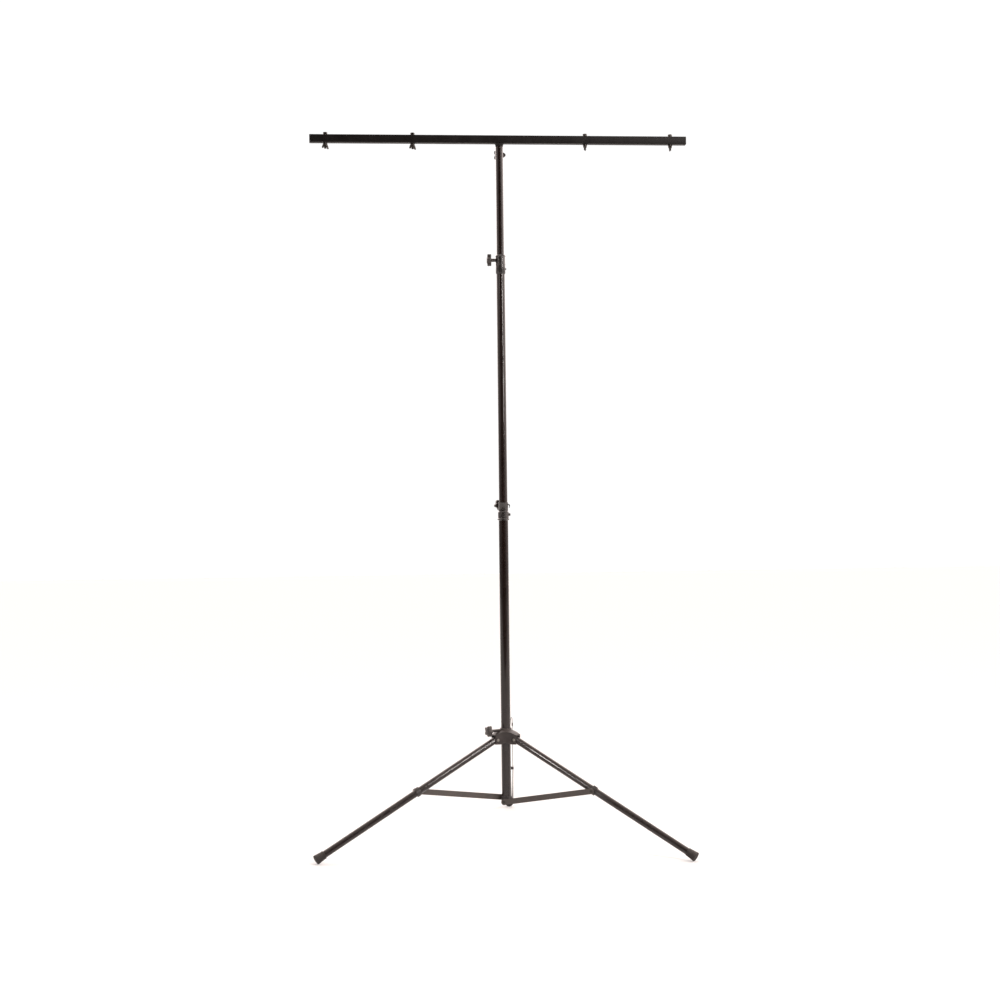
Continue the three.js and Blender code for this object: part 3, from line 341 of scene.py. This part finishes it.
def dress(name, obj):
    """Finish, smooth shading and softened edges for a CAD node."""
    slot = next(s["material_slot"] for s in frame["record"]["subparts"] if s["node"] == name)
    obj.data.materials.clear()
    obj.data.materials.append(OWN_FINISHES.get(name, FINISHES[slot]))
    smooth = obj.modifiers.new("smooth", "NODES")
    smooth.node_group = SMOOTHING
    bevel = obj.modifiers.new("edges", "BEVEL")
    bevel.width = EDGE_WIDTHS.get(name, FINE_EDGE)
    bevel.segments = 2
    bevel.limit_method = "ANGLE"
    bevel.angle_limit = math.radians(BEVEL_DEGREES)
    bevel.harden_normals = True


for node_name, node_object in NODES.items():
    dress(node_name, node_object)
lanyard.data.materials.append(FINISHES["black_screw"])


# Fine pieces, turned round an axis: knobs, bolts, rivets, feet
JOINTS = {joint["name"]: joint for joint in frame["record"]["behaviour"]["joints"]}
UP = Vector((0, 0, 1))


def axes(origin, x_axis, y_axis, z_axis):
    """A matrix with these axes at this origin."""
    made = Matrix((x_axis, y_axis, z_axis)).transposed().to_4x4()
    made.translation = origin
    return made


def joint_frame(name):
    """A frame at a joint: Z along its axis, Y as near to up as it goes."""
    joint = JOINTS[name]
    z_axis = Vector(joint["axis"]).normalized()
    x_axis = UP.cross(z_axis).normalized()
    return axes(Vector(joint["pos_m"]), x_axis, z_axis.cross(x_axis), z_axis)


def add_piece(name, verts, faces, material, body, stands_for=()):
    """A new piece on a body, in place of the CAD nodes that it stands for."""
    data = bpy.data.meshes.new(name)
    data.from_pydata(verts, [], faces)
    data.validate()
    data.polygons.foreach_set("use_smooth", [True] * len(data.polygons))
    data.set_sharp_from_angle(angle=math.radians(PIECE_SMOOTH_DEGREES))
    data.materials.append(material)
    piece = bpy.data.objects.new(name, data)
    scene.collection.objects.link(piece)
    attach(piece, body)
    if stands_for:
        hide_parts(*stands_for)
    return piece


def turned(rows, steps):
    """Vertices and faces of rows turned round Z, each row a radius and a height.

    Both are in millimetres, and each is a number or a function of the angle.
    """
    verts, faces, rings = [], [], []
    for radius, height in rows:
        start = len(verts)
        if radius == 0:
            verts.append((0, 0, height * MM))
            rings.append([start] * steps)
            continue
        for i in range(steps):
            angle = 2 * math.pi * i / steps
            r = radius(angle) if callable(radius) else radius
            z = height(angle) if callable(height) else height
            verts.append((r * math.cos(angle) * MM, r * math.sin(angle) * MM, z * MM))
        rings.append(list(range(start, start + steps)))
    for low, high in zip(rings, rings[1:]):
        for i in range(steps):
            j = (i + 1) % steps
            corners = [low[i], low[j], high[j], high[i]]
            unique = [c for k, c in enumerate(corners) if c not in corners[:k]]
            if len(unique) > 2:
                faces.append(unique)
    return verts, faces


def placed(verts, matrix):
    return [tuple(matrix @ Vector(v)) for v in verts]


def turned_piece(name, rows, steps, matrix, slot, body, stands_for=()):
    """Rows turned round Z, put at the matrix, in the finish of their slot."""
    verts, faces = turned(rows, steps)
    return add_piece(name, placed(verts, matrix), faces, FINISHES[slot], body, stands_for)


def arc(centre_r, centre_z, radius, start, end, count):
    """Points of a rounded edge in a profile, the angles in degrees."""
    points = []
    for i in range(count + 1):
        angle = math.radians(start + (end - start) * i / count)
        points.append((centre_r + radius * math.cos(angle), centre_z + radius * math.sin(angle)))
    return points


# Star knobs, with a waist between two rounded rims and a pressed-in cap
BOSS_REACH = 19.5
HUB_KNOB_SEAT = 49
SEAT_GAP = 0.3
KNOB_LOBES = 5
KNOB_ROUNDING = 2.6
LARGE_KNOB = {
    "radius": 20, "dip": 5.6, "head": 12.8, "dome": 2.4, "cap": 12,
    "neck_radius": 5.4, "neck": 9.2,
}
SMALL_KNOB = {
    "radius": 17.6, "dip": 4.8, "head": 13.4, "dome": 1.6, "cap": 10,
    "neck_radius": 4.6, "neck": 6.4,
}
# For each knob its size, how far from the mast's axis it sits and how far it is turned
KNOBS = {
    "hub": (SMALL_KNOB, HUB_KNOB_SEAT, 0), "mid": (SMALL_KNOB, BOSS_REACH, -12),
    "top": (LARGE_KNOB, BOSS_REACH, 0), "bar": (LARGE_KNOB, BOSS_REACH, 36),
}
STUD_RADIUS = 3
STUD_IN_KNOB = 18
KNOB_STEPS = 120
STUD_STEPS = 24


def quarter(steps):
    """Sine and cosine at even steps of a quarter turn."""
    angles = [math.radians(90 * i / steps) for i in range(steps + 1)]
    return [(math.sin(angle), math.cos(angle)) for angle in angles]


def make_knob(name):
    """A star knob on its clamp screw, from its neck's foot to the dome of its cap."""
    size, seat, turn = KNOBS[name]
    neck, neck_radius, cap = size["neck"], size["neck_radius"], size["cap"]
    face = neck + size["head"]
    edge = KNOB_ROUNDING

    def lobed(inset):
        def radius(angle):
            return size["radius"] - inset - size["dip"] * (1 - math.cos(KNOB_LOBES * angle)) / 2

        return radius

    rows = [(STUD_RADIUS + 0.3, STUD_IN_KNOB), (STUD_RADIUS + 0.3, 0.5), (STUD_RADIUS + 0.8, 0)]
    rows += arc(neck_radius - 0.5, 0.5, 0.5, -90, 0, 3)
    rows += [(neck_radius, neck - 1.4), (neck_radius + 0.5, neck - 0.5), (neck_radius + 1.6, neck)]
    rows.append((lobed(edge + 1.5), neck))
    rows += [(lobed(edge * (1 - sine)), neck + edge * (1 - cosine)) for sine, cosine in quarter(5)]
    rows.append((lobed(0.45), (neck + face) / 2))
    rows += [(lobed(edge * (1 - cosine)), face - edge * (1 - sine)) for sine, cosine in quarter(5)]
    rows += [(lobed(edge + 0.8), face - 0.1), (cap + 0.5, face - 0.5), (cap + 0.1, face - 0.9)]
    rows += [(cap - 0.2, face - 0.9), (cap - 0.3, face + 0.2)]
    for sine, cosine in quarter(6)[1:]:
        radius = (cap - 0.5) * cosine if sine < 1 else 0
        rows.append((radius, face + 0.3 + (size["dome"] - 0.3) * sine))
    matrix = joint_frame(name + "_knob_screw") @ Matrix.Translation((0, 0, (seat + SEAT_GAP) * MM))
    matrix = matrix @ Matrix.Rotation(math.radians(turn), 4, "Z")
    body, node_name = name + "_clamp", name + "_knob"
    turned_piece(name + "_star_knob", rows, KNOB_STEPS, matrix, "knob_plastic", body, [node_name])


for knob_name in KNOBS:
    make_knob(knob_name)


def thread_rows(radius, low, high, pitch, depth):
    """Rows of a screw thread; the crest climbs one pitch a turn."""
    rows = []
    count = max(2, int((high - low) / pitch * 8))
    for i in range(count + 1):
        height = low + (high - low) * i / count
        fade = min(1, i / 6, (count - i) / 6)

        def groove(angle, height=height, fade=fade):
            share = (height / pitch - angle / (2 * math.pi)) % 1
            return radius - fade * depth * abs(2 * share - 1)

        rows.append((groove, height))
    return rows


# The hub knob's screw shows between the hub's boss and the knob
LOWER_TUBE_RADIUS = 15
stud_low = LOWER_TUBE_RADIUS + SEAT_GAP
stud_high = HUB_KNOB_SEAT + SEAT_GAP + STUD_IN_KNOB - 0.5
stud_rows = [(0, stud_low), (STUD_RADIUS - 0.3, stud_low)]
stud_rows += thread_rows(STUD_RADIUS, stud_low + 0.4, stud_high, 1.0, 0.55)
stud_rows.append((0, stud_high))
turned_piece(
    "hub_knob_screw_thread", stud_rows, STUD_STEPS, joint_frame("hub_knob_screw"),
    "steel", "hub_clamp", ["hub_knob_stud"],
)

# Bolts of the T-bar: chamfered hex head, spring washer, flat washer, thread under the bar
BAR_HALF = 12.5
BOLT_X = (-550, -275, 275, 550)
BOLT_RADIUS = 4
BOLT_BELOW_BAR = 18.6
HEX_HALF = 6.0
HEX_CORNER = HEX_HALF / math.cos(math.pi / 6)
BOLT_STEPS = 72
bar_low, bar_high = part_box("t_bar")
BAR_Z = (bar_low[2] + bar_high[2]) / 2


def make_bolt(index, x):
    """A bolt through the bar, with washers under its head; heights are from the bar's middle."""
    seat = BAR_HALF + SEAT_GAP
    ledge, head_low, head_top = seat + 1.2, seat + 2.8, seat + 8.0

    def hexed(limit):
        def radius(angle):
            return min(limit, HEX_HALF / math.cos((angle % (math.pi / 3)) - math.pi / 6))

        return radius

    def split(height):
        # The spring washer's two ends stand apart by a step
        return lambda angle: height + 0.25 * (angle / (2 * math.pi) - 0.5)

    low = -BAR_HALF - BOLT_BELOW_BAR
    rows = [(0, low), (BOLT_RADIUS - 1.0, low), (BOLT_RADIUS - 0.6, low + 0.5)]
    rows += thread_rows(BOLT_RADIUS, low + 0.6, -BAR_HALF + 1, 1.25, 0.7)
    rows += [(BOLT_RADIUS, seat), (6.9, seat), (7.2, seat + 0.25)]
    rows += [(7.2, ledge - 0.25), (6.9, ledge), (6.0, ledge)]
    rows += [(6.1, split(ledge + 0.25)), (6.1, split(head_low - 0.25)), (5.7, head_low)]
    rows += [(hexed(5.9), head_low), (hexed(HEX_CORNER), head_low + 0.3)]
    rows += [(hexed(HEX_CORNER), head_top - 1.0), (hexed(6.5), head_top - 0.55)]
    rows += [(hexed(5.6), head_top - 0.1), (5.2, head_top), (4.2, head_top)]
    rows += [(3.9, head_top - 0.25), (0, head_top - 0.25)]
    matrix = Matrix.Translation((MAST_X + x * MM, MAST_Y, BAR_Z))
    name, node_name = f"hex_bolt_{index}", f"bar_bolt_{index}"
    turned_piece(name, rows, BOLT_STEPS, matrix, "black_screw", "t_bar_head", [node_name])


for bolt_index, bolt_x in enumerate(BOLT_X, 1):
    make_bolt(bolt_index, bolt_x)

# Legs: places and directions of the moving pieces
LEG_PITCH = math.radians(26.9)
LEG_LENGTH = 695.3
BRACE_JOINT = 311
BRACE_PLANE = 17.25
BRACE_THICKNESS = 2
RIVET_RADIUS = 3
RIVET_HEAD = 4.8
RIVET_RISE = 1.6
RIVET_STEPS = 40


def leg_frame(side):
    """A frame at a leg's pivot: Z down the leg, X along the pivot."""
    joint = JOINTS["leg_hinge_" + side]
    place = Vector(joint["pos_m"])
    outward = Vector((place.x - MAST_X, place.y - MAST_Y, 0)).normalized()
    along = outward * math.cos(LEG_PITCH) - UP * math.sin(LEG_PITCH)
    normal = outward * math.sin(LEG_PITCH) + UP * math.cos(LEG_PITCH)
    return axes(place, normal.cross(along), normal, along)


def rivet_rows(low):
    """A rivet from its low end to the hollow in its domed head."""
    seat = BRACE_PLANE + BRACE_THICKNESS + SEAT_GAP
    head, rise = RIVET_HEAD, RIVET_RISE
    rows = [(0, low), (RIVET_RADIUS, low), (RIVET_RADIUS, seat)]
    rows += [(head, seat), (head, seat + rise / 4)]
    for sine, cosine in quarter(6)[1:-1]:
        rows.append((head * cosine, seat + rise / 4 + rise * 0.75 * sine))
    rows += [(head * 0.2, seat + rise * 0.9), (head * 0.14, seat + rise * 0.62)]
    return rows + [(0, seat + rise * 0.6)]


def make_rivet(name, low, place, side, body, stands_for):
    """A rivet along the axis of a side's brace."""
    axis = Vector(JOINTS["brace_hinge_" + side]["axis"]).normalized()
    x_axis = UP.cross(axis).normalized()
    matrix = axes(place, x_axis, axis.cross(x_axis), axis)
    rows, node_name = rivet_rows(low), stands_for + side
    turned_piece(name + side, rows, RIVET_STEPS, matrix, "black_screw", body, [node_name])


for side in SIDES:
    low_place = Vector(JOINTS["brace_hinge_" + side]["pos_m"])
    high_place = leg_frame(side) @ Vector((0, 0, BRACE_JOINT * MM))
    low_end = LOWER_TUBE_RADIUS + 2 * SEAT_GAP
    make_rivet("low_rivet_", low_end, low_place, side, "lower_mast", "bracket_rivet_")
    make_rivet("high_rivet_", BRACE_PLANE, high_place, side, "brace_" + side, "brace_rivet_")

# Rubber feet: flared, with three shallow grooves, flat where they meet the floor
FOOT_LENGTH = 30
FOOT_TOP_RADIUS = 12.5
FOOT_END_RADIUS = 15.0
FLARE_START = 3.75
GROOVE_HALF = 0.9
GROOVE_DEPTH = 0.55
FOOT_STEPS = 64


def make_foot(side):
    """A rubber foot on a leg's end; distances are down the leg from its pivot."""
    start = LEG_LENGTH - FOOT_LENGTH
    rows = [(11.3, LEG_LENGTH - 4.2), (11.3, start + 0.5), (11.8, start)]
    rows += arc(12.3, start + 0.7, 0.7, -90, 0, 3) + arc(12.3, start + 2.0, 0.7, 0, 60, 2)

    def flare(height):
        share = (height - start - FLARE_START) / (FOOT_LENGTH - FLARE_START)
        return FOOT_TOP_RADIUS + (FOOT_END_RADIUS - FOOT_TOP_RADIUS) * share

    rows.append((flare(start + FLARE_START), start + FLARE_START))
    for i in range(3):
        middle = start + 9.5 + 4.6 * i
        floor_radius = flare(middle) - GROOVE_DEPTH
        rows.append((flare(middle - GROOVE_HALF), middle - GROOVE_HALF))
        rows += [(floor_radius, middle - GROOVE_HALF / 2), (floor_radius, middle + GROOVE_HALF / 2)]
        rows.append((flare(middle + GROOVE_HALF), middle + GROOVE_HALF))
    rows += arc(FOOT_END_RADIUS - 1.4, LEG_LENGTH - 1.4, 1.4, 0, 90, 4) + [(0, LEG_LENGTH)]
    verts, faces = turned(rows, FOOT_STEPS)
    ground = [(x, y, max(z, 0.0)) for x, y, z in placed(verts, leg_frame(side))]
    name, body = "rubber_foot_" + side, "leg_" + side
    add_piece(name, ground, faces, FINISHES["rubber"], body, ["foot_" + side])


for side in SIDES:
    make_foot(side)

# Weld round the nut that carries the T-bar's clamp screw
TOP_TUBE_RADIUS = 12
WELD_RADIUS = 8.1


def make_weld():
    """A wavy bead round the nut, level with it below so that it clears the top collar."""
    matrix = joint_frame("bar_knob_screw")
    low = matrix.translation.z - WELD_RADIUS * MM
    steps, sides = 96, 8
    verts, faces = [], []
    for i in range(steps):
        angle = 2 * math.pi * i / steps
        x, y = WELD_RADIUS * math.cos(angle), WELD_RADIUS * math.sin(angle)
        centre = Vector((x, y, math.sqrt(TOP_TUBE_RADIUS**2 - x * x) + 0.3))
        outward = Vector((math.cos(angle), math.sin(angle), 0))
        thick = 1.25 + 0.22 * math.sin(16 * angle) + 0.12 * math.sin(5 * angle + 1)
        for j in range(sides):
            turn = 2 * math.pi * j / sides
            offset = outward * math.cos(turn) + UP * math.sin(turn)
            point = matrix @ ((centre + offset * thick) * MM)
            verts.append((point.x, point.y, max(point.z, low)))
        for j in range(sides):
            k, following = (j + 1) % sides, (i + 1) % steps
            here, there = i * sides, following * sides
            faces.append([here + j, here + k, there + k, there + j])
    add_piece("nut_weld", verts, faces, FINISHES["painted_steel"], "top_mast")


make_weld()

# Floor: white from a little in front of the camera to far behind the stand
WHITE = (1, 1, 1, 1)
FLOOR_SIZE = 26
FLOOR_CENTRE = (0, 7.4, 0)
FLOOR_COLOUR = (0.72, 0.74, 0.74, 1)
FLOOR_GLOW = 0.12


def make_floor():
    """A matt floor that keeps its shadows, with a little glow for the camera alone."""
    bpy.ops.mesh.primitive_plane_add(size=FLOOR_SIZE, location=FLOOR_CENTRE)
    floor = bpy.context.object
    floor.name = "white_floor"
    material = bpy.data.materials.new("white_floor")
    material.use_nodes = True
    tree = material.node_tree
    tree.nodes.clear()
    out = tree.nodes.new("ShaderNodeOutputMaterial")
    diffuse = tree.nodes.new("ShaderNodeBsdfDiffuse")
    diffuse.inputs["Color"].default_value = FLOOR_COLOUR
    glow = tree.nodes.new("ShaderNodeEmission")
    glow.inputs["Color"].default_value = WHITE
    rays = tree.nodes.new("ShaderNodeLightPath")
    strength = combined(tree, rays.outputs["Is Camera Ray"], FLOOR_GLOW)
    tree.links.new(strength, glow.inputs["Strength"])
    both = tree.nodes.new("ShaderNodeAddShader")
    tree.links.new(diffuse.outputs[0], both.inputs[0])
    tree.links.new(glow.outputs[0], both.inputs[1])
    tree.links.new(both.outputs[0], out.inputs["Surface"])
    floor.data.materials.append(material)


# Surroundings: white to the camera, a room of light and dark walls to everything else
SHOWN_LEVEL = 1.05
ROOM_LEVEL = 0.9
ROOM_COLOUR = (1, 0.88, 0.84, 1)


def make_world():
    """Dark towards the camera but for a low lit band; bright behind, above and on the right."""
    world = bpy.data.worlds.new("studio")
    scene.world = world
    world.use_nodes = True
    tree = world.node_tree
    tree.nodes.clear()
    out = tree.nodes.new("ShaderNodeOutputWorld")
    rays = tree.nodes.new("ShaderNodeLightPath")
    shown = tree.nodes.new("ShaderNodeBackground")
    shown.inputs["Color"].default_value = WHITE
    shown.inputs["Strength"].default_value = SHOWN_LEVEL
    room = tree.nodes.new("ShaderNodeBackground")
    coords = tree.nodes.new("ShaderNodeTexCoord")
    parts = tree.nodes.new("ShaderNodeSeparateXYZ")
    tree.links.new(coords.outputs["Generated"], parts.inputs["Vector"])
    wall = span(tree, parts.outputs["Y"], 0.1, 0.7, 0.0, 2.0)
    overhead = span(tree, parts.outputs["Z"], 0.5, 0.95, 0, 1.1)
    left_side = span(tree, parts.outputs["X"], -0.6, -0.9, 0.0, 0.8)
    right_side = span(tree, parts.outputs["X"], 0.6, 0.9, 0.0, 2.2)
    rising = span(tree, parts.outputs["Z"], -0.02, 0.05, 0.04, 0.3)
    falling = span(tree, parts.outputs["Z"], 0.09, 0.2, 1.0, 0.12)
    sideways = span(tree, parts.outputs["X"], 0.0, 0.4, 0.4, 1.4)
    level = combined(tree, combined(tree, rising, falling), sideways)
    above_horizon = span(tree, parts.outputs["Z"], -0.04, 0.2, 0.3, 1.8)
    for other in (wall, left_side, right_side):
        level = combined(tree, level, combined(tree, other, above_horizon), "MAXIMUM")
    level = combined(tree, level, overhead, "MAXIMUM")
    tree.links.new(combined(tree, level, ROOM_LEVEL), room.inputs["Strength"])
    room.inputs["Color"].default_value = ROOM_COLOUR
    mix = tree.nodes.new("ShaderNodeMixShader")
    tree.links.new(rays.outputs["Is Camera Ray"], mix.inputs[0])
    tree.links.new(room.outputs[0], mix.inputs[1])
    tree.links.new(shown.outputs[0], mix.inputs[2])
    tree.links.new(mix.outputs[0], out.inputs["Surface"])


# Lamps
LAMP_COLOUR = (1, 0.93, 0.9)
LINE_LAMP_WIDTH = 0.25
LINE_LAMP_SPREAD = math.radians(44)


def new_lamp(name, length, width, watts):
    """A rectangular lamp of this length and width, not yet in its place."""
    data = bpy.data.lights.new(name, "AREA")
    data.shape = "RECTANGLE"
    data.size, data.size_y = length, width
    data.energy = watts
    data.color = LAMP_COLOUR
    lamp = bpy.data.objects.new(name, data)
    scene.collection.objects.link(lamp)
    return lamp


def area_lamp(name, place, target, size, watts):
    """A lamp at a place, turned to its target."""
    lamp = new_lamp(name, *size, watts)
    lamp.location = place
    lamp.rotation_euler = (Vector(target) - Vector(place)).to_track_quat("-Z", "Y").to_euler()


def line_lamp(name, start, end, target, watts):
    """A long lamp from start to end, on the tripod alone: its light fans out little."""
    start, end, target = Vector(start), Vector(end), Vector(target)
    middle = (start + end) / 2
    back = (middle - target).normalized()
    across = back.cross(end - start).normalized()
    lamp = new_lamp(name, (end - start).length, LINE_LAMP_WIDTH, watts)
    lamp.data.spread = LINE_LAMP_SPREAD
    lamp.matrix_world = axes(middle, across.cross(back).normalized(), across, back)


make_floor()
make_world()
area_lamp("softbox_left", (-2.9, -2.85, 3.6), (0, -0.1, 0.9), (0.5, 0.6), 14)
area_lamp("strip_right", (2.6, -3.3, 1.95), (0, -0.1, 1.2), (0.12, 0.9), 24)
area_lamp("bar_light", (1.9, -3.0, 3.3), (0.6, 0, 2.2), (0.5, 0.5), 58)
line_lamp("tripod_left", (-2.82, -2.77, 2.36), (-2.52, -3.07, 2.18), (0.1, -0.1, 0.25), 0.9)
line_lamp("tripod_right", (2.18, -3.38, 2.28), (1.93, -3.54, 2.15), (-0.1, -0.1, 0.25), 1.5)
scene.view_settings.view_transform = "Standard"
